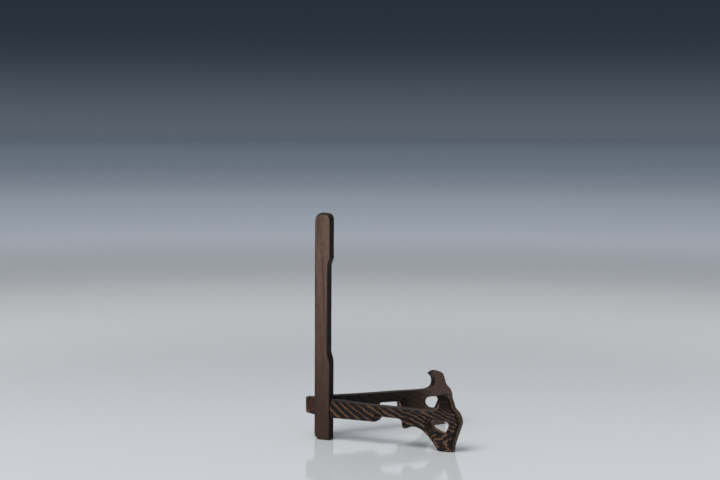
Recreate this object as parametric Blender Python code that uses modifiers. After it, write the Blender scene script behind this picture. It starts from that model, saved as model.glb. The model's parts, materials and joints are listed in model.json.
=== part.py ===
"""Folding plate display stand.

Two mirrored wooden halves, each a post with an arm tenoned through it, joined by two small
brass butt hinges at the posts' inner rear edges. The stand faces -Y, the floor is Z = 0, and
the halves mirror each other across X = 0. Units are metres.

Each half is laid out in its own upright plane: "forward" is the distance in front of the
post's rear edge, "height" is the distance above the floor, and "inward" is the distance from
the boards' inner faces towards the other half.
"""

from math import cos, pi, radians, sin, tan

import bmesh
import bpy
from mathutils import Vector

MM = 0.001

# ---- driving dimensions --------------------------------------------------------------------
HALF_OPENING = radians(25.5)        # each half to the mirror plane, fully open
BOARD = 10.4 * MM                   # thickness of the four boards
GAP = 0.3 * MM                      # play between wooden pieces
FINE_GAP = 0.15 * MM                # play around pegs and hardware
EASE = 0.7 * MM                     # eased edges of the boards

POST_HEIGHT = 225.6 * MM
POST_WIDTH = 16.6 * MM
POST_TOP_CORNER = 8.0 * MM          # rounded rear corner at the top
POST_FOOT_CORNER = 6.5 * MM         # and at the floor
POST_FRONT_CORNER = 6.0 * MM        # rounded top front corner
WAIST_DEPTH = 2.4 * MM              # shallow recess along the middle of the front edge
WAIST_LOW_RAMP = (77.0 * MM, 85.5 * MM)
WAIST_HIGH_RAMP = (175.6 * MM, 181.6 * MM)

ARM_FRONT = 156.3 * MM              # foremost point of the fuller foot
TENON_THICK = 5.2 * MM
TENON_BOTTOM = 24.2 * MM
TENON_TOP = {"left": 41.8 * MM, "right": 39.9 * MM}
TENON_SHY = 0.3 * MM                # its let-in root stays this far below the arm's top edge
TENON_ROOT = 4.0 * MM               # how far the tenon is let into the arm
TAIL = 10.8 * MM                    # tenon standing out behind the post
TAIL_TAPER = 1.6 * MM               # rise of the tail's underside to its end

PEG_RADIUS = 1.5 * MM
PEG_FORWARD = 8.0 * MM
PEG_HEIGHT = 33.0 * MM
PEG_END_WALL = 1.4 * MM             # wood left between the peg's end and the outer face
PEG_EASE = 0.25 * MM

REAR_EDGE_TO_MIDDLE = 12.0 * MM     # a post's outer rear edge to the mirror plane
AXIS_BEHIND_CORNERS = 0.5 * MM      # hinge axis behind the posts' inner rear edges

LEAF_THICK = 1.0 * MM
LEAF_HEIGHT = 26.0 * MM
LEAF_FRONT = 10.6 * MM
LEAF_CORNER = 1.2 * MM
COUNTERSINK_DEPTH = 1.1 * MM        # a little more than the leaf, so that it cuts through
KNUCKLES = 3
KNUCKLE_RADIUS = 1.8 * MM
PIN_RADIUS = 0.95 * MM
PIN_PLAY = 0.1 * MM
PIN_HEAD = (1.5 * MM, 0.9 * MM)     # radius and height of the domed heads
HINGE_HEIGHTS = {"lower": 66.0 * MM, "upper": 194.0 * MM}

SCREW_FORWARD = 6.2 * MM
SCREW_SPACING = 16.0 * MM
SCREW_HEAD_RADIUS = 1.9 * MM
SCREW_HEAD_DEPTH = 0.95 * MM
SCREW_HEAD_EDGE = 0.1 * MM          # small flat round the rim of the head
SCREW_SHANK_RADIUS = 0.85 * MM
SCREW_LENGTH = 7.0 * MM
SCREW_TIP = 1.8 * MM
SCREW_SLOT = (0.45 * MM, 0.5 * MM)  # width and depth

# ---- worked out ----------------------------------------------------------------------------
# The hinge axis lies on the mirror plane. Seen in a half's own plane it is AXIS_BEHIND behind
# the post's rear edge and AXIS_INWARD inside the post's inner face.
CORNER_TO_MIDDLE = REAR_EDGE_TO_MIDDLE - BOARD * cos(HALF_OPENING)
AXIS_INWARD = CORNER_TO_MIDDLE * cos(HALF_OPENING) - AXIS_BEHIND_CORNERS * sin(HALF_OPENING)
AXIS_BEHIND = CORNER_TO_MIDDLE * sin(HALF_OPENING) + AXIS_BEHIND_CORNERS * cos(HALF_OPENING)

# The origin lies under the middle of the depth, from the tails' ends to the feet's fronts.
CHEEK = (BOARD - TENON_THICK) / 2
REAR_REACH = (TAIL - AXIS_BEHIND) * cos(HALF_OPENING) + (AXIS_INWARD + BOARD - CHEEK) * sin(HALF_OPENING)
FRONT_REACH = (ARM_FRONT + AXIS_BEHIND) * cos(HALF_OPENING) - (AXIS_INWARD + EASE) * sin(HALF_OPENING)
AXIS_Y = (FRONT_REACH - REAR_REACH) / 2

MORTISE_FRONT = POST_WIDTH + GAP    # the arm's shoulder stands just off the post
SIDES = {"left": -1, "right": 1}

# An outline is a closed list of knots (forward, height, corner) in millimetres. The corner is
# a fillet radius, 0 for a sharp corner, or SMOOTH where the outline flows through the knot.
SMOOTH = "smooth"

POST_OUTLINE = [
    (0, 0, POST_FOOT_CORNER / MM),
    (POST_WIDTH / MM, 0, 0.8),
    (POST_WIDTH / MM, WAIST_LOW_RAMP[0] / MM, 6),
    ((POST_WIDTH - WAIST_DEPTH) / MM, WAIST_LOW_RAMP[1] / MM, 6),
    ((POST_WIDTH - WAIST_DEPTH) / MM, WAIST_HIGH_RAMP[0] / MM, 6),
    (POST_WIDTH / MM, WAIST_HIGH_RAMP[1] / MM, 6),
    (POST_WIDTH / MM, POST_HEIGHT / MM, POST_FRONT_CORNER / MM),
    (0, POST_HEIGHT / MM, POST_TOP_CORNER / MM),
]

# The arms are carved by hand: the right one is a little slimmer at its root and fuller in its
# hook and foot than the left one.
ARM_ROOT_TOP = {"left": 41.0, "right": 39.6}
ARM_MIDDLE_TOP = 38.3
FULLER = {"left": 0.0, "right": 1.6}


def arm_outline(word):
    root_top = ARM_ROOT_TOP[word]
    full = FULLER[word]
    arch = full * 1.4
    front = ARM_FRONT / MM
    return [
        # underside: root, step up into the notch, tooth behind the foot
        (MORTISE_FRONT / MM, 22.9, 0.8),
        (67.3, 22.9, 3.5),
        (70.6, 28.6, 2.0),
        (94.4, 28.2, 4.5),
        (94.9, 18.7, 2.4),
        (99.0, 19.2, SMOOTH),
        (105.5, 21.6 - arch, SMOOTH),
        (113.2, 20.2 - arch, SMOOTH),
        (120.4, 15.2 - arch / 2, SMOOTH),
        (127.2, 7.8, SMOOTH),
        # foot
        (132.9, 0, 1.2),
        (147.0, 0, 1.0),
        (147.3, 4.5, SMOOTH),
        (149.8 + full / 2, 12.8, SMOOTH),
        (152.9 + full, 21.6, SMOOTH),
        (front - FULLER["right"] + full, 28.6, SMOOTH),
        (152.1 + full, 36.8, SMOOTH),
        # hook
        (147.2 + full, 42.3, SMOOTH),
        (145.2 + full, 48.0, SMOOTH),
        (142.4 + full, 53.0 + full * 0.7, SMOOTH),
        (136.5, 55.6 + full * 0.8, SMOOTH),
        (130.2, 53.3 + full * 0.7, 0.9),
        # groove that the plate's rim sits in
        (132.9 + full, 49.3, SMOOTH),
        (133.4 + full, 45.0, SMOOTH),
        (131.9 + full, 41.0, SMOOTH),
        (128.2, 38.4, SMOOTH),
        (121.0, 37.9, SMOOTH),
        # top edge back to the post
        (97.0, ARM_MIDDLE_TOP, SMOOTH),
        (53.0, (2 * ARM_MIDDLE_TOP + root_top) / 3, SMOOTH),
        (MORTISE_FRONT / MM, root_top, 4.0),
    ]


def eye_outline(word):
    """The opening through the foot, a little deeper in the fuller arm."""
    low = FULLER[word] / 3
    return [
        (123.7 - low, 26.4 - low, SMOOTH),
        (125.8 - low, 29.6, SMOOTH),
        (130.0, 30.4, SMOOTH),
        (136.5, 30.2, SMOOTH),
        (143.4, 29.4, 3.2),
        (143.2, 24.4, SMOOTH),
        (139.4, 16.7 - low, 2.4),
        (133.6, 17.9 - low, SMOOTH),
        (128.2, 20.1 - low, SMOOTH),
        (124.8, 22.9 - low, SMOOTH),
    ]


def tenon_outline(word):
    shoulder = MORTISE_FRONT / MM
    let_in = shoulder + TENON_ROOT / MM
    root_top = ARM_ROOT_TOP[word] - TENON_SHY / MM
    top = TENON_TOP[word] / MM
    return [
        (-TAIL / MM, (TENON_BOTTOM + TAIL_TAPER) / MM, 2.0),
        (0, TENON_BOTTOM / MM, 0),
        (let_in, TENON_BOTTOM / MM, 0),
        (let_in, root_top, 0),
        (shoulder, root_top, 0),
        (shoulder, top, 0),
        (-TAIL / MM, top, 1.2),
    ]


# ---- scene helpers -------------------------------------------------------------------------
def clear_scene():
    for old in list(bpy.data.objects):
        bpy.data.objects.remove(old, do_unlink=True)


def new_collection(name):
    made = bpy.data.collections.new(name)
    bpy.context.scene.collection.children.link(made)
    return made


def new_material(name, colour, roughness, metallic=0.0):
    made = bpy.data.materials.new(name)
    made.use_nodes = True
    shader = made.node_tree.nodes["Principled BSDF"]
    shader.inputs["Base Color"].default_value = (*colour, 1.0)
    shader.inputs["Roughness"].default_value = roughness
    shader.inputs["Metallic"].default_value = metallic
    made.diffuse_color = (*colour, 1.0)
    return made


def in_half(side, forward, height, inward):
    """A point of one half, in the frame of that half's empty on the hinge axis."""
    return Vector((side * (AXIS_INWARD - inward), -(forward + AXIS_BEHIND), height))


def add_object(name, mesh, home, half, location=(0, 0, 0), rotation=(0, 0, 0)):
    made = bpy.data.objects.new(name, mesh)
    home.objects.link(made)
    made.parent = half
    made.location = location
    made.rotation_euler = rotation
    return made


def as_cutter(cutter):
    cutter.hide_render = True
    cutter.display_type = "WIRE"
    return cutter


def boolean(target, other, operation="DIFFERENCE"):
    cut = target.modifiers.new(f"{operation.lower()}_{other.name}", "BOOLEAN")
    cut.operation = operation
    cut.solver = "EXACT"
    cut.object = other


def ease_edges(target, width, segments=2):
    bevel = target.modifiers.new("eased_edges", "BEVEL")
    bevel.width = width
    bevel.segments = segments
    bevel.limit_method = "ANGLE"
    bevel.angle_limit = radians(60)


# ---- shapes --------------------------------------------------------------------------------
def fillet_points(before, corner, after, radius):
    """The two ends of a fillet, each with the handle that points along its arc."""
    to_before = (before - corner).normalized()
    to_after = (after - corner).normalized()
    inside = to_before.angle(to_after)
    run = radius / tan(inside / 2)
    handle = radius * 4 / 3 * tan((pi - inside) / 4)
    start = corner + to_before * run
    end = corner + to_after * run
    return (start, start - to_before * handle), (end, end - to_after * handle)


def outline_curve(name, knots, thickness, home, resolution):
    """A flat closed outline, X forward and Y up, thickened evenly to both sides."""
    places = [Vector((forward * MM, height * MM)) for forward, height, _ in knots]
    points = []
    for index, (_, _, corner) in enumerate(knots):
        here = places[index]
        if corner == SMOOTH:
            points.append((here, "AUTO", "AUTO", None, None))
        elif corner == 0:
            points.append((here, "VECTOR", "VECTOR", None, None))
        else:
            after = places[(index + 1) % len(places)]
            start, end = fillet_points(places[index - 1], here, after, corner * MM)
            points.append((start[0], "VECTOR", "FREE", None, start[1]))
            points.append((end[0], "FREE", "VECTOR", end[1], None))
    curve = bpy.data.curves.new(name, "CURVE")
    curve.dimensions = "2D"
    curve.fill_mode = "BOTH"
    curve.extrude = thickness / 2
    spline = curve.splines.new("BEZIER")
    spline.resolution_u = resolution
    spline.use_cyclic_u = True
    spline.bezier_points.add(len(points) - 1)
    for point, (here, left, right, left_handle, right_handle) in zip(spline.bezier_points, points):
        point.co = (*here, 0)
        point.handle_left_type = left
        point.handle_right_type = right
        if left_handle:
            point.handle_left = (*left_handle, 0)
        if right_handle:
            point.handle_right = (*right_handle, 0)
    made = bpy.data.objects.new(name, curve)
    home.objects.link(made)
    return made


def plate(name, knots, thickness, home, half, side, inward, resolution=4):
    """A board cut to an outline, upright in its half's plane, its middle at an inward place."""
    curve = outline_curve(f"{name}_outline", knots, thickness, home, resolution)
    curve.parent = half
    curve.location = in_half(side, 0, 0, inward)
    curve.rotation_euler = (pi / 2, 0, -pi / 2)
    bpy.context.view_layer.update()
    graph = bpy.context.evaluated_depsgraph_get()
    mesh = bpy.data.meshes.new_from_object(curve.evaluated_get(graph))
    mesh.name = name
    shape = bmesh.new()
    shape.from_mesh(mesh)
    bmesh.ops.remove_doubles(shape, verts=shape.verts, dist=0.00001)
    bmesh.ops.dissolve_limit(shape, angle_limit=radians(0.2), verts=shape.verts, edges=shape.edges)
    bmesh.ops.recalc_face_normals(shape, faces=shape.faces)
    shape.to_mesh(mesh)
    shape.free()
    made = bpy.data.objects.new(name, mesh)
    home.objects.link(made)
    made.parent = half
    made.matrix_world = curve.matrix_world.copy()
    bpy.data.objects.remove(curve, do_unlink=True)
    return made


def box(name, low, high, home, half):
    """A box between two corners given in the half's frame."""
    shape = bmesh.new()
    bmesh.ops.create_cube(shape, size=1)
    size = [abs(b - a) for a, b in zip(low, high)]
    middle = [(a + b) / 2 for a, b in zip(low, high)]
    bmesh.ops.scale(shape, vec=size, verts=shape.verts)
    mesh = bpy.data.meshes.new(name)
    shape.to_mesh(mesh)
    shape.free()
    return add_object(name, mesh, home, half, location=middle)


def rod(name, radii, length, home, half, location, rotation=(0, 0, 0), sides=16):
    """A cylinder or cone, centred on its place, with its first radius at its -Z end."""
    shape = bmesh.new()
    bmesh.ops.create_cone(
        shape, cap_ends=True, segments=sides, radius1=radii[0], radius2=radii[1], depth=length)
    mesh = bpy.data.meshes.new(name)
    shape.to_mesh(mesh)
    shape.free()
    return add_object(name, mesh, home, half, location, rotation)


def turned(name, profile, home, half, location, rotation=(0, 0, 0), steps=16):
    """A solid turned round its own Z axis from a profile that runs from its top down."""
    shape = bmesh.new()
    verts = [shape.verts.new((radius, 0, height)) for radius, height in profile]
    for upper, lower in zip(verts, verts[1:]):
        shape.edges.new((upper, lower))
    mesh = bpy.data.meshes.new(name)
    shape.to_mesh(mesh)
    shape.free()
    made = add_object(name, mesh, home, half, location, rotation)
    screw = made.modifiers.new("turn", "SCREW")
    screw.axis = "Z"
    screw.steps = steps
    screw.render_steps = steps
    screw.use_merge_vertices = True
    screw.merge_threshold = 0.00001
    screw.use_smooth_shade = True
    return made


def facing_in(side):
    """The rotation that turns a piece's +Z towards the other half."""
    return (0, -side * pi / 2, 0)


# ---- the wooden boards ---------------------------------------------------------------------
def make_post(word, side, half):
    post = plate(f"{word}_post", POST_OUTLINE, BOARD, parts, half, side, -BOARD / 2)
    ease_edges(post, EASE)
    middle = BOARD / 2
    half_width = TENON_THICK / 2 + GAP
    mortise = as_cutter(box(
        f"{word}_mortise",
        in_half(side, -POST_WIDTH, TENON_BOTTOM - GAP, -middle - half_width),
        in_half(side, POST_WIDTH * 2, TENON_TOP[word] + GAP, -middle + half_width),
        cutters, half))
    boolean(post, mortise)
    peg_hole = as_cutter(rod(
        f"{word}_peg_socket", [PEG_RADIUS + FINE_GAP] * 2, 2 * (BOARD - PEG_END_WALL + FINE_GAP),
        cutters, half, in_half(side, PEG_FORWARD, PEG_HEIGHT, 0), facing_in(side)))
    boolean(post, peg_hole)
    for hinge, height in HINGE_HEIGHTS.items():
        for number, screw_height in screw_heights(height):
            pilot = as_cutter(rod(
                f"{hinge}_{word}_pilot_{number}", [SCREW_SHANK_RADIUS + FINE_GAP] * 2,
                2 * SCREW_LENGTH, cutters, half,
                in_half(side, SCREW_FORWARD, screw_height, 0), facing_in(side)))
            boolean(post, pilot)
    post.data.materials.append(post_wood)


def make_arm(word, side, half):
    arm = plate(f"{word}_arm", arm_outline(word), BOARD, parts, half, side, -BOARD / 2)
    ease_edges(arm, EASE)
    tenon = as_cutter(plate(
        f"{word}_tenon", tenon_outline(word), TENON_THICK, cutters, half, side, -BOARD / 2))
    boolean(arm, tenon, "UNION")
    eye = as_cutter(plate(f"{word}_eye", eye_outline(word), BOARD * 2, cutters, half, side, -BOARD / 2))
    boolean(arm, eye)
    peg_bore = as_cutter(rod(
        f"{word}_peg_bore", [PEG_RADIUS + FINE_GAP] * 2, BOARD * 2,
        cutters, half, in_half(side, PEG_FORWARD, PEG_HEIGHT, -BOARD / 2), facing_in(side)))
    boolean(arm, peg_bore)
    arm.data.materials.append(arm_wood)


def make_peg(word, side, half):
    length = BOARD - PEG_END_WALL
    peg = rod(
        f"{word}_tenon_peg", [PEG_RADIUS] * 2, length, parts, half,
        in_half(side, PEG_FORWARD, PEG_HEIGHT, -length / 2), facing_in(side))
    ease_edges(peg, PEG_EASE, 1)
    peg.data.materials.append(peg_wood)


# ---- the hinges ----------------------------------------------------------------------------
def screw_heights(hinge_height):
    return [(1, hinge_height - SCREW_SPACING / 2), (2, hinge_height + SCREW_SPACING / 2)]


def knuckle_spans(hinge_height):
    """Bottom and top of each knuckle, with the play between knuckles taken off."""
    pitch = (LEAF_HEIGHT + GAP) / KNUCKLES
    bottom = hinge_height - LEAF_HEIGHT / 2
    return [(bottom + pitch * k, bottom + pitch * (k + 1) - GAP) for k in range(KNUCKLES)]


def make_leaf(hinge, word, side, half, hinge_height):
    """A leaf flat on the post, whose back lies in line with the outside of its knuckles."""
    name = f"{hinge}_{word}_leaf"
    back = AXIS_INWARD - KNUCKLE_RADIUS
    low = (hinge_height - LEAF_HEIGHT / 2) / MM
    high = (hinge_height + LEAF_HEIGHT / 2) / MM
    leaf = plate(
        name,
        [(-AXIS_BEHIND / MM, low, 0), (LEAF_FRONT / MM, low, LEAF_CORNER / MM),
         (LEAF_FRONT / MM, high, LEAF_CORNER / MM), (-AXIS_BEHIND / MM, high, 0)],
        LEAF_THICK, parts, half, side, back + LEAF_THICK / 2)
    for number, (bottom, top) in enumerate(knuckle_spans(hinge_height)):
        own = (number % 2 == 0) == (word == "left")
        middle = (bottom + top) / 2
        if own:
            knuckle = as_cutter(rod(
                f"{name}_knuckle_{number}", [KNUCKLE_RADIUS] * 2, top - bottom, cutters, half,
                (0, 0, middle)))
            boolean(leaf, knuckle, "UNION")
        else:
            reach = KNUCKLE_RADIUS + GAP
            notch = as_cutter(box(
                f"{name}_notch_{number}", (-reach, -reach, bottom - GAP), (reach, reach, top + GAP),
                cutters, half))
            boolean(leaf, notch)
    bore = as_cutter(rod(
        f"{name}_bore", [PIN_RADIUS + PIN_PLAY] * 2, LEAF_HEIGHT * 2, cutters, half,
        (0, 0, hinge_height)))
    boolean(leaf, bore)
    for number, height in screw_heights(hinge_height):
        sink = as_cutter(rod(
            f"{name}_countersink_{number}",
            (SCREW_SHANK_RADIUS + FINE_GAP, SCREW_HEAD_RADIUS + FINE_GAP), COUNTERSINK_DEPTH,
            cutters, half, in_half(side, SCREW_FORWARD, height, back + LEAF_THICK / 2),
            facing_in(side)))
        boolean(leaf, sink)
    leaf.data.materials.append(brass)


def make_screw(name, half, side, height):
    """A slotted countersunk screw, its head flush with the leaf."""
    face = AXIS_INWARD - KNUCKLE_RADIUS + LEAF_THICK
    screw = turned(
        name,
        [(0, 0), (SCREW_HEAD_RADIUS - SCREW_HEAD_EDGE, 0), (SCREW_HEAD_RADIUS, -SCREW_HEAD_EDGE),
         (SCREW_SHANK_RADIUS, -SCREW_HEAD_DEPTH), (SCREW_SHANK_RADIUS, SCREW_TIP - SCREW_LENGTH),
         (0, -SCREW_LENGTH)],
        parts, half, in_half(side, SCREW_FORWARD, height, face), facing_in(side))
    width, depth = SCREW_SLOT
    across = SCREW_HEAD_RADIUS * 1.5
    centre = in_half(side, SCREW_FORWARD, height, face)
    reach = Vector((depth, width / 2, across))
    slot = as_cutter(box(f"{name}_slot", centre - reach, centre + reach, cutters, half))
    boolean(screw, slot)
    screw.data.materials.append(brass)


def make_pin(hinge, half, hinge_height):
    """The hinge pin, with a low domed head at each end."""
    radius, height = PIN_HEAD
    top = LEAF_HEIGHT / 2 + FINE_GAP
    dome = [(radius * sin(angle), top + height * cos(angle)) for angle in (0, pi / 6, pi / 3)]
    upper = dome + [(radius, top), (PIN_RADIUS, top)]
    lower = [(r, -z) for r, z in reversed(upper)]
    pin = turned(f"{hinge}_hinge_pin", upper + lower, parts, half, (0, 0, hinge_height))
    pin.data.materials.append(brass)


# ---- assembly ------------------------------------------------------------------------------
clear_scene()
parts = new_collection("plate_display_stand")
cutters = new_collection("cutters")
post_wood = new_material("post_wood", (0.085, 0.055, 0.045), 0.55)
arm_wood = new_material("arm_wood", (0.13, 0.075, 0.045), 0.5)
peg_wood = new_material("peg_wood", (0.30, 0.18, 0.08), 0.6)
brass = new_material("brass", (0.62, 0.43, 0.16), 0.32, 1.0)

halves = {}
for word, side in SIDES.items():
    half = bpy.data.objects.new(f"{word}_half", None)
    parts.objects.link(half)
    half.location = (0, AXIS_Y, 0)
    half.rotation_euler = (0, 0, side * HALF_OPENING)
    halves[word] = half
bpy.context.view_layer.update()

for word, side in SIDES.items():
    half = halves[word]
    make_post(word, side, half)
    make_arm(word, side, half)
    make_peg(word, side, half)
    for hinge, height in HINGE_HEIGHTS.items():
        make_leaf(hinge, word, side, half, height)
        for number, screw_height in screw_heights(height):
            make_screw(f"{hinge}_{word}_screw_{number}", half, side, screw_height)
for hinge, height in HINGE_HEIGHTS.items():
    make_pin(hinge, halves["left"], height)
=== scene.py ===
"""Looks of the folding plate display stand: figured hardwood, carved by hand, on brass hinges.

The posts and arms are rebuilt as dense meshes, each in its half's own upright plane, and the
carved lines and hollows are cut into those. In that plane "across" is the distance out
from a board's inner face, "forward" the distance in front of the post's rear edge, and
"height" the distance above the floor. Lengths are in millimetres unless a name ends in _M.
"""

import json
from math import pi, radians

import bmesh
import bpy
import numpy as np
from mathutils import Matrix, Vector, kdtree, noise


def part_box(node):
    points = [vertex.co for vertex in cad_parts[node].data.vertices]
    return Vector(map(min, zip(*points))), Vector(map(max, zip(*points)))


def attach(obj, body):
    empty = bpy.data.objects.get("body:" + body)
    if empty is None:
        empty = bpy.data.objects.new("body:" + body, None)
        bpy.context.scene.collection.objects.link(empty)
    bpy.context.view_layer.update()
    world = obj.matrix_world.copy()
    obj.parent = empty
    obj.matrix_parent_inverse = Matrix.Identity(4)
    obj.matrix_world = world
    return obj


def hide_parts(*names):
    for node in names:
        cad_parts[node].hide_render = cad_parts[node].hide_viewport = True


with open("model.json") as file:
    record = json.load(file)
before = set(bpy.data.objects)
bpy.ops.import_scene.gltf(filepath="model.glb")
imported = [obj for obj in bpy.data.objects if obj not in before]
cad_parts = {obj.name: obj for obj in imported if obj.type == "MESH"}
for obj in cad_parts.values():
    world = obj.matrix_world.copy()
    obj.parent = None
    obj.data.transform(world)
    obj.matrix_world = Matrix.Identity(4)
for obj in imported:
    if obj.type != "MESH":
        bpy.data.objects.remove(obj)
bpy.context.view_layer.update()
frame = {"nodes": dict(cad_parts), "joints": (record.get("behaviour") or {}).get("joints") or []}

# ---- sizes read from the frame ---------------------------------------------------------------
PER_M = 1000.0
HINGE = frame["joints"][0]
AXIS_M = Vector(HINGE["pos_m"])
HALF_OPENING = radians(abs(HINGE["range_deg"][0]) / 2)
SIDES = {"left": -1, "right": 1}


def half_matrix(side):
    """The place of one half's own frame: on the hinge axis, turned along that half's boards."""
    turn = Matrix.Rotation(side * HALF_OPENING, 4, "Z")
    return Matrix.Translation((AXIS_M.x, AXIS_M.y, 0)) @ turn


def put_in_scene(name, data):
    made = bpy.data.objects.new(name, data)
    bpy.context.scene.collection.objects.link(made)
    return made


def mesh_points(mesh):
    flat = np.empty(len(mesh.vertices) * 3, np.float32)
    mesh.vertices.foreach_get("co", flat)
    return flat.reshape(-1, 3).astype(float)


def points_in_half(name, side):
    """A node's points in its half's frame, in millimetres."""
    points = mesh_points(frame["nodes"][name].data)
    back = np.array(half_matrix(side).inverted())
    return (points @ back[:3, :3].T + back[:3, 3]) * PER_M


POST = points_in_half("left_post", SIDES["left"])
AXIS_INWARD = np.abs(POST[:, 0]).min()      # hinge axis to the boards' inner faces
AXIS_BEHIND = -POST[:, 1].max()             # hinge axis to the posts' rear edges
BOARD = np.abs(POST[:, 0]).max() - AXIS_INWARD

# ---- carving ---------------------------------------------------------------------------------
# A stroke is a cut with a V section along a smooth line: points (forward, height), half width,
# depth. It tapers out at both ends. A hollow is a dished oval: centre, radii, turn, depth.
OUTER_STROKES = [
    # line that follows the front of the foot and the hook, just inside the edge
    ([(145.4, 2.0), (145.8, 7.0), (148.0, 13.6), (151.1, 22.0), (152.8, 28.6), (150.6, 35.8),
      (146.0, 41.2), (144.0, 47.0), (141.3, 51.8), (136.4, 54.0), (132.6, 53.0)], 1.3, 0.9),
    # short line beside it down the foot
    ([(147.9, 9.0), (147.2, 5.0), (146.9, 1.8)], 0.7, 0.5),
    # scroll round the rear end of the eye
    ([(139.0, 15.8), (134.0, 16.2), (128.0, 18.2), (124.6, 20.6), (121.0, 21.0), (119.2, 23.6),
      (119.3, 27.0), (121.4, 30.2), (125.0, 31.6)], 1.2, 0.8),
    ([(121.2, 26.4), (122.0, 23.4), (123.4, 22.4)], 1.1, 0.7),
    # scroll on the step under the arm
    ([(64.6, 25.6), (66.6, 28.6), (70.0, 29.9), (72.8, 29.8)], 1.3, 0.7),
    ([(67.2, 25.4), (68.8, 27.6)], 1.0, 0.5),
    # scroll behind the tooth
    ([(97.6, 21.6), (98.0, 24.6), (101.2, 26.2)], 1.0, 0.45),
]
INNER_STROKES = [
    OUTER_STROKES[3],
    ([(99.6, 22.2), (100.6, 26.2), (98.2, 29.6), (94.0, 30.6)], 1.5, 0.8),
    ([(145.3, 4.0), (147.9, 14.0), (150.6, 21.0), (151.2, 28.0)], 1.3, 0.5),
]
OUTER_HOLLOWS = [
    ((137.4, 51.2), (6.4, 3.6), -0.1, 0.8),
    ((122.8, 24.6), (3.0, 4.0), -0.2, 0.6),
    ((97.0, 22.6), (2.6, 2.6), 0.0, 0.35),
]
INNER_HOLLOWS = [
    ((94.9, 25.6), (2.4, 4.2), 0.2, 0.8),
]
LINE_SPACING = 0.2              # between the places on a smooth line
CUT_POWER = 1.2                 # 1 gives a cut straight sides, more hollows them
TAPER_RATE = 6                  # a stroke is at full depth after 1 / 6 of its length
TAPER_POWER = 0.5               # below 1 it deepens quickly at first
BEVEL_POWER = 2
EYE_CENTRE = (134.0, 24.5)
EYE_REACH = 14.0                # walls nearer than this to the eye's centre are the eye's
TOOTH_BACK = (94.6, 24.0)       # the wall behind the tooth under the arm
TOOTH_REACH = 4.5
LEG_FRONT = 141.0               # the foot's and hook's front lies ahead of this
EYE_BEVEL = (1.7, 0.5)          # width and depth of the soft bevel round the eye
EDGE_BEVEL = (1.3, 0.22)        # the same along every other edge
BEVEL_UNDER_CUT = 0.5           # share of a bevel that is added to a cut across it
REGROWN = 0.05                  # makes good what evening out the mesh takes off
UNEVENNESS = ((14, 0.07), (4, 0.025))   # length and height of the waves left by hand work
FIXING_BAND = (3.2, 11.0)       # the part of a post's width that its pilot holes and bore lie in
FIXING_MARGIN = 0.6             # above and below each of them
NEAR_FACE = 1.7                 # how deep an edge still belongs to the face beside it
FAR = 99.0                      # stands for any distance beyond a bevel's width
EDGE_FADE = 0.9                 # distance over which the edge attribute fades
# how far a surface turns towards a face: 0 on a wall, 1 on a face
WALL_TURN = 0.35                # turned less than this, it is a wall
FACE_TURN = 0.5                 # turned more than this, it is carved with that face
WALL_FADE_END = 0.85            # the attributes for walls have faded out here
WALL_FADE = 0.5
FRONT_FADE = 0.4                # forward lean at which the front attribute is full
SEED_STEPS = (17.3, 5.9, 11.1)  # shift of the unevenness from one seed to the next


def smooth_line(points):
    """Places on a Catmull-Rom line through the points, each with its share of the length."""
    knots = [np.array(p, float) for p in points]
    knots = [2 * knots[0] - knots[1], *knots, 2 * knots[-1] - knots[-2]]
    places = []
    for a, b, c, d in zip(knots, knots[1:], knots[2:], knots[3:]):
        for t in np.arange(0, 1, LINE_SPACING / np.linalg.norm(c - b)):
            places.append(0.5 * (2 * b + (c - a) * t + (2 * a - 5 * b + 4 * c - d) * t ** 2
                                 + (3 * b - a - 3 * c + d) * t ** 3))
    places.append(knots[-2])
    places = np.array(places)
    run = np.concatenate([[0], np.cumsum(np.linalg.norm(np.diff(places, axis=0), axis=1))])
    return places, run / run[-1]


def nearest(points, targets):
    """For each flat point, the distance to the nearest target and that target's number."""
    tree = kdtree.KDTree(len(targets))
    for number, (x, y) in enumerate(targets):
        tree.insert((x, y, 0), number)
    tree.balance()
    found = [tree.find((x, y, 0)) for x, y in points]
    return np.array([f[2] for f in found]), np.array([f[1] for f in found])


def stroke_depth(flat, points, half_width, depth):
    line, share = smooth_line(points)
    low, high = line.min(0) - half_width, line.max(0) + half_width
    near = np.flatnonzero(((flat > low) & (flat < high)).all(1))
    cut = np.zeros(len(flat))
    if len(near):
        distance, which = nearest(flat[near], line)
        taper = np.clip(np.minimum(share, 1 - share)[which] * TAPER_RATE, 0, 1) ** TAPER_POWER
        cut[near] = depth * taper * np.clip(1 - distance / half_width, 0, 1) ** CUT_POWER
    return cut


def hollow_depth(flat, centre, radii, turn, depth):
    away = flat - np.array(centre)
    along = away[:, 0] * np.cos(turn) + away[:, 1] * np.sin(turn)
    over = away[:, 1] * np.cos(turn) - away[:, 0] * np.sin(turn)
    inside = 1 - (along / radii[0]) ** 2 - (over / radii[1]) ** 2
    return depth * np.clip(inside, 0, 1) ** CUT_POWER


def bevel_depth(distance, width, depth):
    return depth * np.clip(1 - distance / width, 0, 1) ** BEVEL_POWER


# ---- dense copies of the wooden nodes --------------------------------------------------------
RELAX_FACTOR = 0.5
RELAX_ROUNDS = 3


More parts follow.
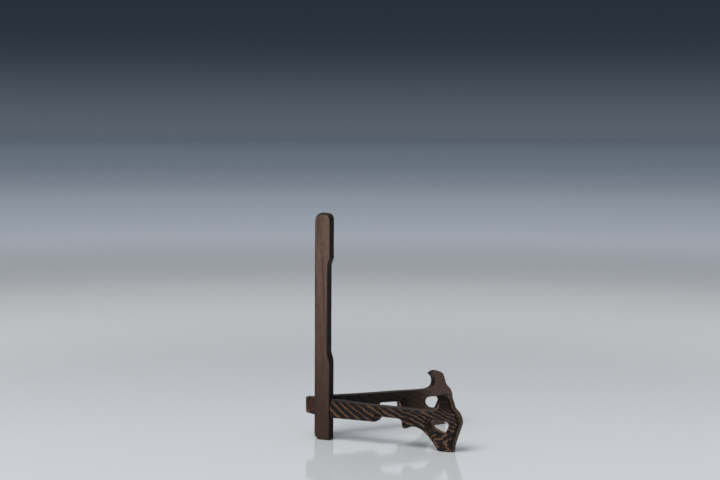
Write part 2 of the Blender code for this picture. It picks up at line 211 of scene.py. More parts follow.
def dense_copy(name, node_name, side, voxel):
    """A node rebuilt as an even mesh of small quads, in its half's frame."""
    node = frame["nodes"][node_name]
    rough = node.data.copy()
    rough.transform(half_matrix(side).inverted())
    made = put_in_scene(name, rough)
    remesh = made.modifiers.new("even_mesh", "REMESH")
    remesh.mode = "VOXEL"
    remesh.voxel_size = voxel / PER_M
    remesh.use_smooth_shade = True
    relax = made.modifiers.new("relax", "SMOOTH")
    relax.factor = RELAX_FACTOR
    relax.iterations = RELAX_ROUNDS
    bpy.context.view_layer.update()
    graph = bpy.context.evaluated_depsgraph_get()
    fine = bpy.data.meshes.new_from_object(made.evaluated_get(graph))
    fine.name = name
    made.modifiers.clear()
    made.data = fine
    bpy.data.meshes.remove(rough)
    made.data.materials.clear()
    made.matrix_world = half_matrix(side)
    return made


def vertex_normals(mesh):
    flat = np.empty(len(mesh.vertices) * 3, np.float32)
    mesh.vertices.foreach_get("normal", flat)
    return flat.reshape(-1, 3).astype(float)


def board_places(mesh, side):
    """Across, forward and height of each point, in millimetres."""
    points = mesh_points(mesh) * PER_M
    return side * points[:, 0] - AXIS_INWARD, -points[:, 1] - AXIS_BEHIND, points[:, 2]


def wavering(points, size, seed):
    """Slow noise in -1 to 1 at each point, its waves about size millimetres long."""
    shift = Vector([seed * step for step in SEED_STEPS])
    return np.array([noise.noise(Vector(p) / size + shift) for p in points])


def keep_attribute(mesh, name, values):
    kept = mesh.attributes.new(name, "FLOAT", "POINT")
    kept.data.foreach_set("value", values.astype(np.float32))


FIXINGS = [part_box(name) for name in frame["nodes"] if "_screw_" in name or name.endswith("peg")]


def near_fixings(forward, height):
    """The pilot holes and peg bores are bored after the edges are eased, so they stay crisp."""
    in_band = (forward > FIXING_BAND[0]) & (forward < FIXING_BAND[1])
    close = np.zeros(len(forward), bool)
    for low, high in FIXINGS:
        middle = (low[2] + high[2]) / 2 * PER_M
        reach = (high[2] - low[2]) / 2 * PER_M + FIXING_MARGIN
        close |= (np.abs(height - middle) < reach) & in_band
    return close


def carved_depth(flat, facing_out, strokes, hollows):
    """Depth of the strokes and hollows at each point, for the outer face and the inner face."""
    carved = np.zeros(len(flat))
    for faces, lines, ovals in zip((facing_out > FACE_TURN, facing_out < -FACE_TURN), strokes, hollows):
        here = np.zeros(len(flat))
        for stroke in lines:
            here = np.maximum(here, stroke_depth(flat, *stroke))
        for oval in ovals:
            here = np.maximum(here, hollow_depth(flat, *oval))
        carved[faces] = here[faces]
    return carved


def hand_work(piece, side, seed, strokes=((), ()), hollows=((), ()), eye=False):
    """Softens a board's edges, carves both its faces and leaves them slightly uneven.

    strokes and hollows are for the outer face and the inner face. Attributes are kept for the
    material: carved, the depth of the cut; edge, 1 at an edge and 0 on a flat; lining, 1 on the
    walls of the eye and of the gap behind the tooth; and front, 1 on the front of the foot and
    hook. Lining and front fade out round the bevels, where the surface turns towards a face.
    """
    mesh = piece.data
    across, forward, height = board_places(mesh, side)
    flat = np.stack([forward, height], 1)
    normals = vertex_normals(mesh)
    facing_out = side * normals[:, 0]
    on_wall = np.abs(facing_out) < WALL_TURN
    from_face = np.minimum(across, BOARD - across)
    near_face = from_face < NEAR_FACE
    wall = flat[on_wall & near_face & ~near_fixings(forward, height)]
    on_face = np.flatnonzero(~on_wall & near_face)
    distance = np.where(near_face, from_face, FAR)
    distance[on_face] = nearest(flat[on_face], wall)[0]
    cut = bevel_depth(distance, *EDGE_BEVEL)
    if eye:
        round_eye = np.linalg.norm(wall - EYE_CENTRE, axis=1) < EYE_REACH
        to_eye = np.full(len(flat), FAR)
        to_eye[on_face] = nearest(flat[on_face], wall[round_eye])[0]
        cut = np.maximum(cut, bevel_depth(to_eye, *EYE_BEVEL))
    carved = carved_depth(flat, facing_out, strokes, hollows)
    deepest = np.maximum(cut, carved + cut * BEVEL_UNDER_CUT)
    depth = np.where(on_wall | ~near_face, 0, deepest)
    points = mesh_points(mesh)
    points[:, 0] -= side * np.sign(facing_out) * depth / PER_M
    (long_wave, long_height), (short_wave, short_height) = UNEVENNESS
    uneven = wavering(points * PER_M, long_wave, seed) * long_height
    uneven = uneven + wavering(points * PER_M, short_wave, seed + 1) * short_height
    points += normals * (uneven[:, None] + REGROWN) / PER_M
    mesh.vertices.foreach_set("co", points.astype(np.float32).ravel())
    mesh.update()
    keep_attribute(mesh, "carved", np.clip(carved, 0, 1))
    keep_attribute(mesh, "edge", np.exp(-distance / EDGE_FADE))
    in_eye = (np.linalg.norm(flat - EYE_CENTRE, axis=1) < EYE_REACH) & eye
    in_eye |= (np.linalg.norm(flat - TOOTH_BACK, axis=1) < TOOTH_REACH) & eye
    wall_share = np.clip((WALL_FADE_END - np.abs(facing_out)) / WALL_FADE, 0, 1)
    leaning_front = np.clip(-normals[:, 1] / FRONT_FADE, 0, 1) * np.clip(forward - LEG_FRONT, 0, 1)
    keep_attribute(mesh, "lining", wall_share * in_eye)
    keep_attribute(mesh, "front", wall_share * leaning_front * ~in_eye * eye)


# ---- materials -------------------------------------------------------------------------------
class Shader:
    """A material with short calls to add nodes."""

    def __init__(self, name):
        self.material = bpy.data.materials.new(name)
        self.material.use_nodes = True
        self.tree = self.material.node_tree
        self.surface = self.tree.nodes["Principled BSDF"]

    def put(self, socket, value):
        if isinstance(value, bpy.types.NodeSocket):
            self.tree.links.new(value, socket)
        elif value is not None:
            socket.default_value = value

    def node(self, kind, inputs=(), **settings):
        made = self.tree.nodes.new(f"ShaderNode{kind}")
        for name, value in settings.items():
            setattr(made, name, value)
        for key, value in dict(inputs).items():
            self.put(made.inputs[key], value)
        return made

    def math(self, operation, a, b=None, c=None):
        made = self.tree.nodes.new("ShaderNodeMath")
        made.operation = operation
        for socket, value in zip(made.inputs, (a, b, c)):
            self.put(socket, value)
        return made.outputs[0]

    def times(self, a, b):
        return self.math("MULTIPLY", a, b)

    def times_plus(self, a, b, c):
        return self.math("MULTIPLY_ADD", a, b, c)

    def scaled(self, parts, scales):
        """A place whose three parts are each multiplied by their own scale."""
        inputs = {key: self.times(*pair) for key, pair in zip("XYZ", zip(parts, scales))}
        return self.node("CombineXYZ", inputs).outputs[0]

    def noise(self, place, scale=1.0, detail=2.0, roughness=0.5, distortion=0.0):
        """Noise from 0 to 1, centred on 0.5."""
        inputs = {"Vector": place, "Scale": scale, "Detail": detail, "Roughness": roughness,
                  "Distortion": distortion}
        return self.node("TexNoise", inputs).outputs[0]

    def ramp(self, value, low, high, to_low=0.0, to_high=1.0):
        """A smooth step of a value: to_low up to low, to_high from high onwards."""
        inputs = {"Value": value, "From Min": low, "From Max": high, "To Min": to_low,
                  "To Max": to_high}
        return self.node("MapRange", inputs, interpolation_type="SMOOTHSTEP").outputs[0]

    def mix(self, share, a, b):
        made = self.node("Mix", data_type="RGBA")
        for key, value in ((0, share), (6, a), (7, b)):
            self.put(made.inputs[key], value)
        return made.outputs[2]

    def attribute(self, name):
        return self.node("Attribute", attribute_name=name).outputs["Fac"]

    def bump(self, height, distance_m, strength=1.0, normal=None):
        inputs = {"Height": height, "Distance": distance_m, "Strength": strength, "Normal": normal}
        return self.node("Bump", inputs).outputs[0]

    def board_place(self, side):
        """Across, forward and height on a board, in millimetres."""
        place = self.node("TexCoord").outputs["Object"]
        parts = self.node("SeparateXYZ", {"Vector": place}).outputs
        across = self.times_plus(parts["X"], side * PER_M, -AXIS_INWARD)
        forward = self.times_plus(parts["Y"], -PER_M, -AXIS_BEHIND)
        height = self.times(parts["Z"], PER_M)
        return across, forward, height

    def surface_is(self, **inputs):
        """Sets inputs of the surface, with underscores in their names for spaces."""
        for key, value in inputs.items():
            self.put(self.surface.inputs[key.replace("_", " ")], value)


def rgb(red, green, blue):
    return (red, green, blue, 1.0)


DARK_WOOD = rgb(0.0088, 0.0084, 0.0086)
DARKER_WOOD = rgb(0.0060, 0.0032, 0.0019)
TAN_WOOD = rgb(0.150, 0.078, 0.041)
TAWNY_WOOD = rgb(0.085, 0.044, 0.026)
# painted light: the lit tan of the eye's walls
LINING_PAINTED_LIGHT = rgb(0.300, 0.165, 0.085)
HOOK_WOOD = rgb(0.170, 0.110, 0.090)
# near black: painted shade on the arms' inner faces at the root and, in part, on the posts' edges; also
# the dark streaks on the foot's front and the posts' dark layers
BLACKISH_WOOD_AND_SHADE = rgb(0.0100, 0.0080, 0.0072)
POST_WOOD = rgb(0.150, 0.092, 0.068)
POST_STREAK = rgb(0.048, 0.027, 0.019)

# In this section a ramp is (low, high), then what it gives at each of them if not 0 and 1. A
# noise is (waves to a millimetre of a board's place or to a metre of an object's, detail,
# roughness, distortion), of which the last ones may be left out. A grain is the scale of a
# noise across a board, forward and up. A bump is (depth in metres, strength).
EVEN_GRAIN = (1.0, 1.0, 1.0)
# noises for places that a grain has already scaled
COARSE_NOISE = (1.0, 2.0, 0.6)
FINE_NOISE = (1.0, 3.0, 0.6)
SMOOTH_NOISE = (1.0, 2.0, 0.5)
PORE_NOISE = (1.0, 1.0)
DIRT_NOISE = (260, 3, 0.6)
DIRT_RAMP = (0.3, 0.7)
# cuts darkened: partly a darker finish in them, partly painted shade that their shallow relief does not
# cast
CUT_STAIN_AND_SHADE = (0.05, 0.42, 0.0, 0.94)
# painted shade along every edge, less of it on the walls of the eye
EDGE_PAINTED_SHADE = (0.30, 0.95, 0.0, 0.75)
LESS_EDGE_SHADE_IN_LINING = 0.3
WORN_PATCHES = (0.55, 0.75, 0.0, 0.25)
PORE_STAIN = 0.75
ROUGHER_CUTS = 0.25             # pores and cuts are rougher by this
RELIEF_BUMP = (0.00012, 0.8)
DIRT_BUMP = (0.00010, 0.5)
WOOD_SHINE = 0.12


def finish_wood(shader, colour, pores, relief, roughness):
    """Cuts darkened by stain and painted shade, painted shade along the edges, open pores and a rubbed
    satin surface, on any of the woods.
    """
    place = shader.node("TexCoord").outputs["Object"]
    dirt = shader.noise(place, *DIRT_NOISE)
    # darker in the cuts: stain and painted shade
    stain_and_shade = shader.ramp(shader.attribute("carved"), *CUT_STAIN_AND_SHADE)
    colour = shader.mix(stain_and_shade, colour, DARKER_WOOD)
    # painted shade along the edges, weaker on the lined walls
    outside = shader.times_plus(shader.attribute("lining"), -LESS_EDGE_SHADE_IN_LINING, 1.0)
    edge_shade = shader.times(shader.ramp(shader.attribute("edge"), *EDGE_PAINTED_SHADE), outside)
    colour = shader.mix(edge_shade, colour, DARKER_WOOD)
    colour = shader.mix(shader.ramp(dirt, *WORN_PATCHES), colour, TAWNY_WOOD)
    colour = shader.mix(shader.times(pores, PORE_STAIN), colour, DARKER_WOOD)
    satin = shader.ramp(dirt, *DIRT_RAMP, *roughness)
    rougher = shader.times_plus(shader.math("MAXIMUM", pores, stain_and_shade), ROUGHER_CUTS, satin)
    sunk = shader.times_plus(pores, -1.0, relief)
    normal = shader.bump(dirt, *DIRT_BUMP, shader.bump(sunk, *RELIEF_BUMP))
    shader.surface_is(Base_Color=colour, Roughness=rougher, Normal=normal,
                      Specular_IOR_Level=WOOD_SHINE)
    return shader.material


# the arms' figure: its level rises upwards and forwards, and bands are counted along that
FIGURE_START = 46.0             # level, in millimetres, that the bands are counted from
FIGURE_RATE = 0.092             # bands to a millimetre there
FIGURE_CROWDING = 0.0012        # and how fast they crowd together towards the foot
FIGURE_SLOPE = 0.37             # rise of the level for each millimetre forward
ROOT_BEND = 42.0                # length over which it rises more steeply at the root
ROOT_RISE = 30.0                # and by how much in all
FIGURE_TILT = 1.3               # rise for each millimetre through the board
ARM_MIDDLE = 21.0               # the upward rise is counted from this height
FOOT_UPRIGHTNESS = -0.85        # added in the foot to that rise of 1 for each millimetre
FOOT_BELOW = (9.0, 21.0, 1.0, 0.0)
FOOT_AHEAD = (118.0, 130.0)
SLOW_WARP = ((0.03, 1.0), 5.0)  # a noise and its shift of the level, in millimetres
QUICK_WARP = ((0.15, 1.0), 4.0)
RAGGED_WARP = ((0.75, 2.0), 2.2)
FOOT_JAGS = 8.0                 # shift of the level by the jags in the foot
JAGS_GRAIN = (1.0, 0.12, 0.32)
BAND_GRAIN = (1.7, 0.04, 0.05)  # from band to band, forward and across
BAND_UNEVENNESS = 2.6           # how much each of these noises adds to the wave
PATCH_GRAIN = (1.0, 0.11, 0.16)
PATCHINESS = 2.0
BAND_SLIMNESS = 0.4             # share of a second wave that narrows the light bands
LIGHT_BANDS = (2.62, 3.04)
FINE_GRAIN = (3.2, 0.16, 3.2)
LIGHT_GRAIN = (0.35, 0.65)
DARK_GRAIN = (0.55, 0.85)
# painted shade: the arm darkens from about 36 mm upwards, most of all over the hook's head, standing in
# for a shadow cast on it
HOOK_TOP_PAINTED_SHADE = (35.5, 43.5, 0.0, 0.92)
TAIL_STAIN = (0.0, 12.0, 1.0, 0.0)
TAIL_NOISE = (0.5, 3.0, 0.65)
TAIL_MOTTLING = (0.4, 0.6, 0.1, 0.7)
# the inner face cuts the layers flat: plain and brown at the hook, with painted shade that darkens it
# towards the root
INNER_LAYER = (0.7, 1.8, 1.0, 0.0)
INNER_ROOT_SHADE_FADE = (88.0, 150.0)
INNER_BROWN = (116.0, 136.0)
INNER_GRAIN = (0.4, 0.7, 0.0, 0.6)
INNER_FIGURE = (100.0, 140.0, 0.10, 0.32)
# painted light and shade on the eye's walls: lit near the inner face, shaded dark near the outer face
LINING_LIGHT_TO_SHADE = (3.6, 7.0)
LINING_SHARE = 0.92
FRONT_GRAIN = (1.1, 0.1, 0.12)
FRONT_STREAKS = (0.4, 0.6)
FRONT_SHARE = 0.9
ARM_PORE_GRAIN = (7.0, 0.55, 7.0)
ARM_PORES = (0.66, 0.74)
ARM_ROUGHNESS = (0.46, 0.62)
FULL_TURN = 2 * pi


def figure_count(shader, across, seeded, forward, height):
    """How many bands lie between the figure's start and each place on an arm."""
    in_foot = shader.times(shader.ramp(height, *FOOT_BELOW), shader.ramp(forward, *FOOT_AHEAD))
    jags_at = shader.scaled((across, seeded, height), JAGS_GRAIN)
    jags = shader.times(shader.noise(jags_at, *COARSE_NOISE), in_foot)
    bend = shader.math("TANH", shader.math("DIVIDE", forward, ROOT_BEND))
    level = shader.times_plus(forward, FIGURE_SLOPE, shader.times(bend, ROOT_RISE))
    upright = shader.times_plus(in_foot, FOOT_UPRIGHTNESS, 1.0)
    level = shader.times_plus(shader.math("SUBTRACT", height, ARM_MIDDLE), upright, level)
    level = shader.times_plus(across, FIGURE_TILT, level)
    place = shader.scaled((across, seeded, height), EVEN_GRAIN)
    for pattern, amount in (SLOW_WARP, QUICK_WARP, RAGGED_WARP):
        level = shader.times_plus(shader.noise(place, *pattern), amount, level)
    level = shader.times_plus(jags, FOOT_JAGS, level)
    level = shader.math("SUBTRACT", level, FIGURE_START)
    return shader.times(shader.times_plus(level, FIGURE_CROWDING, FIGURE_RATE), level)


def light_bands(shader, count, across, seeded, height):
    """1 on the light bands and 0 between them."""
    wave = shader.math("SINE", shader.times(count, FULL_TURN))
    second = shader.math("COSINE", shader.times(count, 2 * FULL_TURN))
    uneven_at = shader.scaled((count, seeded, across), BAND_GRAIN)
    uneven = shader.noise(uneven_at, *SMOOTH_NOISE)
    patches_at = shader.scaled((across, seeded, height), PATCH_GRAIN)
    patches = shader.noise(patches_at, *COARSE_NOISE)
    bands = shader.times_plus(patches, PATCHINESS, wave)
    bands = shader.times_plus(uneven, BAND_UNEVENNESS, bands)
    bands = shader.times_plus(second, -BAND_SLIMNESS, bands)
    return shader.ramp(bands, *LIGHT_BANDS)


def arm_material(word, side, seed):
    """Wood with steep figure at the root that lies down towards the foot."""
    shader = Shader(f"figured_wood_{word}_arm")
    across, forward, height = shader.board_place(side)
    seeded = shader.math("ADD", forward, seed)
    parts = (across, seeded, height)
    count = figure_count(shader, across, seeded, forward, height)
    light = light_bands(shader, count, across, seeded, height)
    grain = shader.noise(shader.scaled(parts, FINE_GRAIN), *FINE_NOISE)
    tan = shader.mix(shader.ramp(grain, *LIGHT_GRAIN), TAWNY_WOOD, TAN_WOOD)
    dark = shader.mix(shader.ramp(grain, *DARK_GRAIN), DARK_WOOD, TAWNY_WOOD)
    colour = shader.mix(light, dark, tan)
    # painted shade over the top of the arm and the hook's head
    colour = shader.mix(shader.ramp(height, *HOOK_TOP_PAINTED_SHADE), colour, DARKER_WOOD)
    mottling = shader.noise(shader.scaled(parts, EVEN_GRAIN), *TAIL_NOISE)
    tail = shader.times(shader.ramp(forward, *TAIL_STAIN), shader.ramp(mottling, *TAIL_MOTTLING))
    colour = shader.mix(tail, colour, TAWNY_WOOD)
    # painted shade: the inner face near black at the root, fading out forwards
    plain = shader.mix(shader.ramp(forward, *INNER_ROOT_SHADE_FADE), BLACKISH_WOOD_AND_SHADE, TAWNY_WOOD)
    plain = shader.mix(shader.ramp(forward, *INNER_BROWN), plain, HOOK_WOOD)
    plain = shader.mix(shader.ramp(grain, *INNER_GRAIN), plain, DARK_WOOD)
    plain = shader.mix(shader.ramp(forward, *INNER_FIGURE), plain, colour)
    colour = shader.mix(shader.ramp(across, *INNER_LAYER), colour, plain)
    # painted light and shade on the walls of the eye and the gap behind the tooth
    lining = shader.mix(shader.ramp(across, *LINING_LIGHT_TO_SHADE), LINING_PAINTED_LIGHT, DARKER_WOOD)
    lined = shader.times(shader.attribute("lining"), LINING_SHARE)
    colour = shader.mix(lined, colour, lining)
    streaks = shader.noise(shader.scaled(parts, FRONT_GRAIN), *FINE_NOISE)
    front = shader.mix(shader.ramp(streaks, *FRONT_STREAKS), TAN_WOOD, BLACKISH_WOOD_AND_SHADE)
    in_front = shader.times(shader.attribute("front"), FRONT_SHARE)
    colour = shader.mix(in_front, colour, front)
    fine = shader.noise(shader.scaled(parts, ARM_PORE_GRAIN), *PORE_NOISE)
    return finish_wood(shader, colour, shader.ramp(fine, *ARM_PORES), light, ARM_ROUGHNESS)


WANDER_GRAIN = (1.0, 1.0, 0.03)
WANDER_NOISE = (0.25, 2.0)
WANDER = 1.2                    # how far the layers stray through the board
WIDE_GRAIN = (0.5, 1.0, 0.03)
WIDE_NOISE = (0.55, 3.0)
WIDE_STREAKS = (0.25, 0.55)
NARROW_GRAIN = (3.0, 1.7, 0.22)
NARROW_STREAKS = (0.48, 0.66, 0.0, 0.42)
FOOT_PAINTED_SHADE = (-15.0, 190.0, 1.0, 0.0)    # painted shade: the post grows darker towards the foot, where the light falls off near the floor
CORE_FULL = 0.8                 # about how deep under a face the dark core is full
CORE_START = 0.1                # and where it starts
LAYER_GRAIN = (1.1, 0.1, 0.03)
CORE_LAYERS = (0.5, 0.75)
POST_PORE_GRAIN = (8.0, 8.0, 0.5)
POST_PORES = (0.66, 0.75)
POST_ROUGHNESS = (0.5, 0.66)


def post_material(word, side, seed):
    """Straight-grained wood, light on its faces and dark on the edges that cut its layers; that dark is
    partly the layers' own colour and partly painted shade.
    """
    shader = Shader(f"straight_wood_{word}_post")
    across, forward, height = shader.board_place(side)
    seeded = shader.math("ADD", forward, seed)
    parts = (across, seeded, height)
    wander = shader.noise(shader.scaled(parts, WANDER_GRAIN), *WANDER_NOISE)
    wide = shader.noise(shader.scaled(parts, WIDE_GRAIN), *WIDE_NOISE)
    streaks = shader.noise(shader.scaled(parts, NARROW_GRAIN), *FINE_NOISE)
    face = shader.mix(shader.ramp(wide, *WIDE_STREAKS), POST_STREAK, POST_WOOD)
    # painted shade, darker towards the foot
    face = shader.mix(shader.ramp(height, *FOOT_PAINTED_SHADE), face, POST_STREAK)
    face = shader.mix(shader.ramp(streaks, *NARROW_STREAKS), face, DARKER_WOOD)
    depth = shader.times_plus(wander, WANDER, across)
    off_middle = shader.math("SUBTRACT", depth, BOARD / 2 + WANDER / 2)
    skin = (BOARD / 2 - CORE_FULL, BOARD / 2 - CORE_START, 1.0, 0.0)
    inside = shader.ramp(shader.math("ABSOLUTE", off_middle), *skin)
    layers = shader.noise(shader.scaled((depth, seeded, height), LAYER_GRAIN), *SMOOTH_NOISE)
    # the dark core: the wood's dark layers, made darker still as painted shade on the posts' edges
    core = shader.mix(shader.ramp(layers, *CORE_LAYERS), DARKER_WOOD, BLACKISH_WOOD_AND_SHADE)
    colour = shader.mix(inside, face, core)
    fine = shader.noise(shader.scaled(parts, POST_PORE_GRAIN), *PORE_NOISE)
    return finish_wood(shader, colour, shader.ramp(fine, *POST_PORES), streaks, POST_ROUGHNESS)


PEG_DARK = rgb(0.20, 0.115, 0.055)
PEG_PALE = rgb(0.36, 0.225, 0.115)
PEG_FLECK = rgb(0.06, 0.035, 0.018)
PEG_RING_NOISE = (900, 3, 0.6, 0.6)
PEG_RINGS = (0.35, 0.65)
PEG_FLECK_NOISE = (3200, 2, 0.6)
PEG_FLECKS = (0.6, 0.72, 0.0, 0.6)
PEG_ROUGHNESS = (0.3, 0.7, 0.5, 0.7)
PEG_BUMP = (0.00008, 0.6)


def peg_material():
    """Pale end grain with growth rings."""
    shader = Shader("plain_peg_wood")
    place = shader.node("TexCoord").outputs["Object"]
    rings = shader.noise(place, *PEG_RING_NOISE)
    flecks = shader.noise(place, *PEG_FLECK_NOISE)
    colour = shader.mix(shader.ramp(rings, *PEG_RINGS), PEG_DARK, PEG_PALE)
    colour = shader.mix(shader.ramp(flecks, *PEG_FLECKS), colour, PEG_FLECK)
    shader.surface_is(Base_Color=colour, Roughness=shader.ramp(flecks, *PEG_ROUGHNESS),
                      Normal=shader.bump(flecks, *PEG_BUMP))
    return shader.material


LEAF_BRASS = rgb(0.66, 0.47, 0.19)
LEAF_TARNISH = rgb(0.24, 0.15, 0.065)
LEAF_BRUSHING = (200, 200, 4000)        # scales of the fine lines along X, Y and Z
SCREW_BRASS = rgb(0.72, 0.53, 0.24)
SCREW_TARNISH = rgb(0.30, 0.20, 0.09)
SCREW_BRUSHING = (1500, 1500, 300)
BRASS_SPOT = rgb(0.09, 0.06, 0.03)
TARNISH_NOISE = (210, 4, 0.62)
TARNISH_PATCHES = (0.42, 0.68, 0.0, 0.75)
TARNISH_ROUGHNESS = (0.35, 0.7, 0.16, 0.36)
SPECK_NOISE = (1700, 3, 0.6)
SPOTS = (0.62, 0.72, 0.0, 0.7)
BRUSHED_NOISE = (1.0, 3, 0.65)
BRUSHED_ROUGHNESS = 0.22
BRUSHED_BUMP = (0.00002, 0.6)
SPECK_BUMP = (0.00002, 0.5)


def brass_material(name, clean, tarnish, brushing):
    """Old brass: bright where it is rubbed, brown in patches, with fine lines along one axis."""
    shader = Shader(name)
    place = shader.node("TexCoord").outputs["Object"]
    patches = shader.noise(place, *TARNISH_NOISE)
    specks = shader.noise(place, *SPECK_NOISE)
    stretched = shader.node("Mapping", {"Vector": place, "Scale": brushing}).outputs[0]
    lines = shader.noise(stretched, *BRUSHED_NOISE)
    colour = shader.mix(shader.ramp(patches, *TARNISH_PATCHES), clean, tarnish)
    colour = shader.mix(shader.ramp(specks, *SPOTS), colour, BRASS_SPOT)
    dull = shader.ramp(patches, *TARNISH_ROUGHNESS)
    normal = shader.bump(specks, *SPECK_BUMP, shader.bump(lines, *BRUSHED_BUMP))
    shader.surface_is(Base_Color=colour, Metallic=1.0, Normal=normal,
                      Roughness=shader.times_plus(lines, BRUSHED_ROUGHNESS, dull))
    return shader.material


def fade_ramp(tree, stops, place):
    """A colour ramp with these (position, colour) stops, smooth between them."""
    made = tree.nodes.new("ShaderNodeValToRGB")
    tree.links.new(place, made.inputs["Fac"])
    ramp = made.color_ramp
    ramp.interpolation = "CARDINAL"
    ramp.elements.remove(ramp.elements[1])
    ramp.elements[0].position, ramp.elements[0].color = stops[0]
    for position, colour in stops[1:]:
        ramp.elements.new(position).color = colour
    return made.outputs["Color"]


FLOOR_RADIUS_M = 60.0
FLOOR_SIDES = 96
FADE_MIDDLE_M = 3.0             # distance at which the fade is half way along its ramp
# distance from the stand in metres, and the floor's colour there: painted light and shade, a bright
# band about 1.2 m out and dark, bluish shade further away
FLOOR_PAINTED_LIGHT = [
    (0.0, rgb(0.57, 0.575, 0.57)),
    (0.6, rgb(0.64, 0.645, 0.64)),
    (1.2, rgb(0.86, 0.865, 0.85)),
    (2.0, rgb(0.56, 0.58, 0.59)),
    (3.2, rgb(0.32, 0.35, 0.385)),
    (6.3, rgb(0.175, 0.20, 0.235)),
    (11.0, rgb(0.135, 0.158, 0.190)),
    (24.0, rgb(0.108, 0.130, 0.159)),
    (60.0, rgb(0.084, 0.103, 0.128)),
]
FADE_NOISE = (2.5, 3, 0.55)
FADE_WAVER_M = 0.06
FLOOR_NOISE = (900.0, 2, 0.5)
FLOOR_GLOSS = (0.3, 0.7, 0.06, 0.10)
FLOOR_DULLING = (1.0, 5.0, 0.0, 0.5)    # with distance in metres, like the shine
FLOOR_SHINE = (3.0, 10.0, 0.8, 0.0)
FLOOR_BUMP = (0.00002, 0.2)


def floor_material():
    """Slightly glossy studio floor, its colour painted with the studio's light: pale near the stand,
    brightest about 1.2 m out, and painted shade, dark and bluish, with distance.
    """
    shader = Shader("pale_studio_floor")
    place = shader.node("TexCoord").outputs["Object"]
    away = shader.node("VectorMath", {0: place}, operation="LENGTH").outputs["Value"]
    away = shader.times_plus(shader.noise(place, *FADE_NOISE), FADE_WAVER_M, away)
    share = shader.math("DIVIDE", away, shader.math("ADD", away, FADE_MIDDLE_M))
    stops = [(radius / (radius + FADE_MIDDLE_M), colour) for radius, colour in FLOOR_PAINTED_LIGHT]
    fine = shader.noise(place, *FLOOR_NOISE)
    rough = shader.math("ADD", shader.ramp(fine, *FLOOR_GLOSS), shader.ramp(away, *FLOOR_DULLING))
    # the floor's colour by distance is painted light and shade
    shader.surface_is(Base_Color=fade_ramp(shader.tree, stops, share), Roughness=rough,
                      Specular_IOR_Level=shader.ramp(away, *FLOOR_SHINE),
                      Normal=shader.bump(fine, *FLOOR_BUMP))
    return shader.material


# ---- pieces ----------------------------------------------------------------------------------
ARM_VOXEL = 0.37                # size of the quads that a board is rebuilt from
POST_VOXEL = 0.45
ARM_SEED = 3                    # the left side's seed is one less and the right side's one more
POST_SEED = 8
ARM_CUT_APART = 40.0            # how far from the middle of the figure each arm is cut
POST_CUT_APART = 25.0
LEAF_EDGE = 0.12
LEAF_EDGE_STEPS = 2
LEAF_EDGE_ANGLE = 40            # edges sharper than this, in degrees, are rounded


def dress(piece, material):
    piece.data.materials.clear()
    piece.data.materials.append(material)


def make_arm(word, side):
    arm = dense_copy(f"carved_{word}_arm", f"{word}_arm", side, ARM_VOXEL)
    strokes = (OUTER_STROKES, INNER_STROKES)
    hollows = (OUTER_HOLLOWS, INNER_HOLLOWS)
    hand_work(arm, side, ARM_SEED + side, strokes, hollows, eye=True)
    dress(arm, arm_material(word, side, ARM_CUT_APART * side))
    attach(arm, f"{word}_half")
    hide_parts(f"{word}_arm")


def make_post(word, side):
    post = dense_copy(f"planed_{word}_post", f"{word}_post", side, POST_VOXEL)
    hand_work(post, side, POST_SEED + side)
    dress(post, post_material(word, side, POST_CUT_APART * side))
    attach(post, f"{word}_half")
    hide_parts(f"{word}_post")


def soften(node):
    """A fine rounded edge that catches the light, over the node's own shape."""
    bevel = node.modifiers.new("fine_edge", "BEVEL")
    bevel.width = LEAF_EDGE / PER_M
    bevel.segments = LEAF_EDGE_STEPS
    bevel.limit_method = "ANGLE"
    bevel.angle_limit = radians(LEAF_EDGE_ANGLE)


def make_hardware():
    leaf_brass = brass_material("hinge_brass", LEAF_BRASS, LEAF_TARNISH, LEAF_BRUSHING)
    screw_brass = brass_material("screw_brass", SCREW_BRASS, SCREW_TARNISH, SCREW_BRUSHING)
    peg_wood = peg_material()
    for name, node in frame["nodes"].items():
        if name.endswith("leaf"):
            dress(node, leaf_brass)
            soften(node)
        elif name.endswith("hinge_pin") or "_screw_" in name:
            dress(node, screw_brass)
        elif name.endswith("tenon_peg"):
            dress(node, peg_wood)


# ---- stage, light and camera -----------------------------------------------------------------
# sine of the angle above the horizon: dark behind the stand, bright from well above it
SKY_FADE = [
    (0.0, rgb(0.099, 0.120, 0.148)),
    (0.045, rgb(0.038, 0.049, 0.066)),
    (0.095, rgb(0.021, 0.029, 0.042)),
    (0.13, rgb(0.032, 0.040, 0.053)),
    (0.20, rgb(0.36, 0.38, 0.42)),
    (1.0, rgb(0.33, 0.36, 0.41)),
]
KEY_STRENGTH = 2.7
KEY_BREADTH = 38                # in degrees
KEY_FROM = (-0.42, 0.46, 1.0)   # direction from the stand to the key
SOFTBOX_PLACE_M = (-0.4, 0.4, 2.0)
SOFTBOX_AIM_M = (0, 0, 0.06)
SOFTBOX_SIZE_M = 1.2
SOFTBOX_POWER = 6
SENSOR_WIDTH = 36
LENS = 75
CAMERA_PLACE_M = (-1.4957, 0.0535, 0.3083)
CAMERA_VIEW = (0.99713, -0.02025, -0.07284)
CAMERA_ROLL = -0.0046           # in radians, about the view
NEAREST_SEEN_M = 0.05
FARTHEST_SEEN_M = 200


def make_floor():
    mesh = bpy.data.meshes.new("floor")
    shape = bmesh.new()
    bmesh.ops.create_circle(shape, cap_ends=True, segments=FLOOR_SIDES, radius=FLOOR_RADIUS_M)
    shape.to_mesh(mesh)
    shape.free()
    floor = put_in_scene("floor", mesh)
    mesh.materials.append(floor_material())


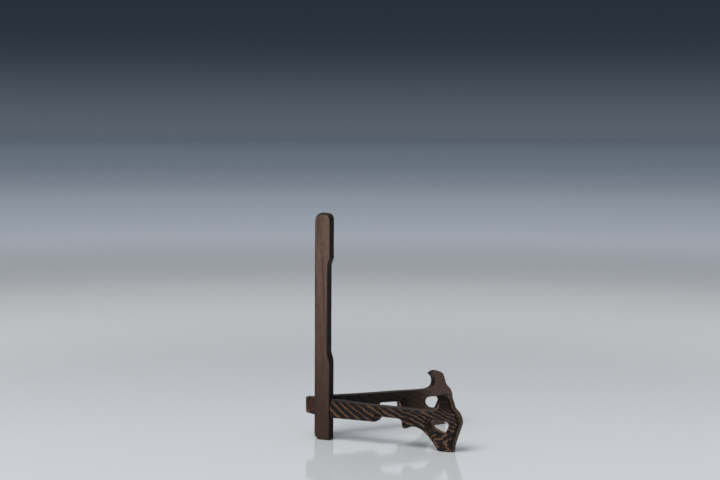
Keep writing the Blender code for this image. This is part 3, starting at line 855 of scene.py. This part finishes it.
def make_world():
    """Soft light from above; low down it matches the far floor, so that no horizon shows."""
    world = bpy.data.worlds.new("studio")
    bpy.context.scene.world = world
    world.use_nodes = True
    tree = world.node_tree
    place = tree.nodes.new("ShaderNodeTexCoord").outputs["Generated"]
    parts = tree.nodes.new("ShaderNodeSeparateXYZ")
    tree.links.new(place, parts.inputs[0])
    sky = fade_ramp(tree, SKY_FADE, parts.outputs["Z"])
    tree.links.new(sky, tree.nodes["Background"].inputs["Color"])


def make_lights():
    """A broad key from high behind the stand's left, and a softbox that adds soft gloss."""
    key = bpy.data.lights.new("broad_key", "SUN")
    key.energy = KEY_STRENGTH
    key.angle = radians(KEY_BREADTH)
    lamp = put_in_scene("broad_key", key)
    lamp.rotation_euler = Vector(KEY_FROM).to_track_quat("Z", "Y").to_euler()
    box = bpy.data.lights.new("overhead_softbox", "AREA")
    box.size = SOFTBOX_SIZE_M
    box.energy = SOFTBOX_POWER
    lamp = put_in_scene("overhead_softbox", box)
    lamp.location = SOFTBOX_PLACE_M
    aim = Vector(SOFTBOX_AIM_M) - Vector(SOFTBOX_PLACE_M)
    lamp.rotation_euler = aim.to_track_quat("-Z", "Y").to_euler()
    lamp.visible_camera = False


def make_camera():
    """A little above the stand's top, looking along +X at the left half's outer face."""
    data = bpy.data.cameras.new("camera")
    data.sensor_width = SENSOR_WIDTH
    data.lens = LENS
    data.clip_start = NEAREST_SEEN_M
    data.clip_end = FARTHEST_SEEN_M
    camera = put_in_scene("camera", data)
    bpy.context.scene.camera = camera
    view = Vector(CAMERA_VIEW).normalized()
    right = view.cross((0, 0, 1)).normalized()
    up = right.cross(view)
    roll = Matrix.Rotation(CAMERA_ROLL, 3, view)
    turn = Matrix((roll @ right, roll @ up, -view)).transposed()
    camera.matrix_world = Matrix.Translation(CAMERA_PLACE_M) @ turn.to_4x4()


# ---- the scene -------------------------------------------------------------------------------
for word, side in SIDES.items():
    make_post(word, side)
    make_arm(word, side)
make_hardware()
make_floor()
make_world()
make_lights()
make_camera()
bpy.context.scene.view_settings.view_transform = "Standard"
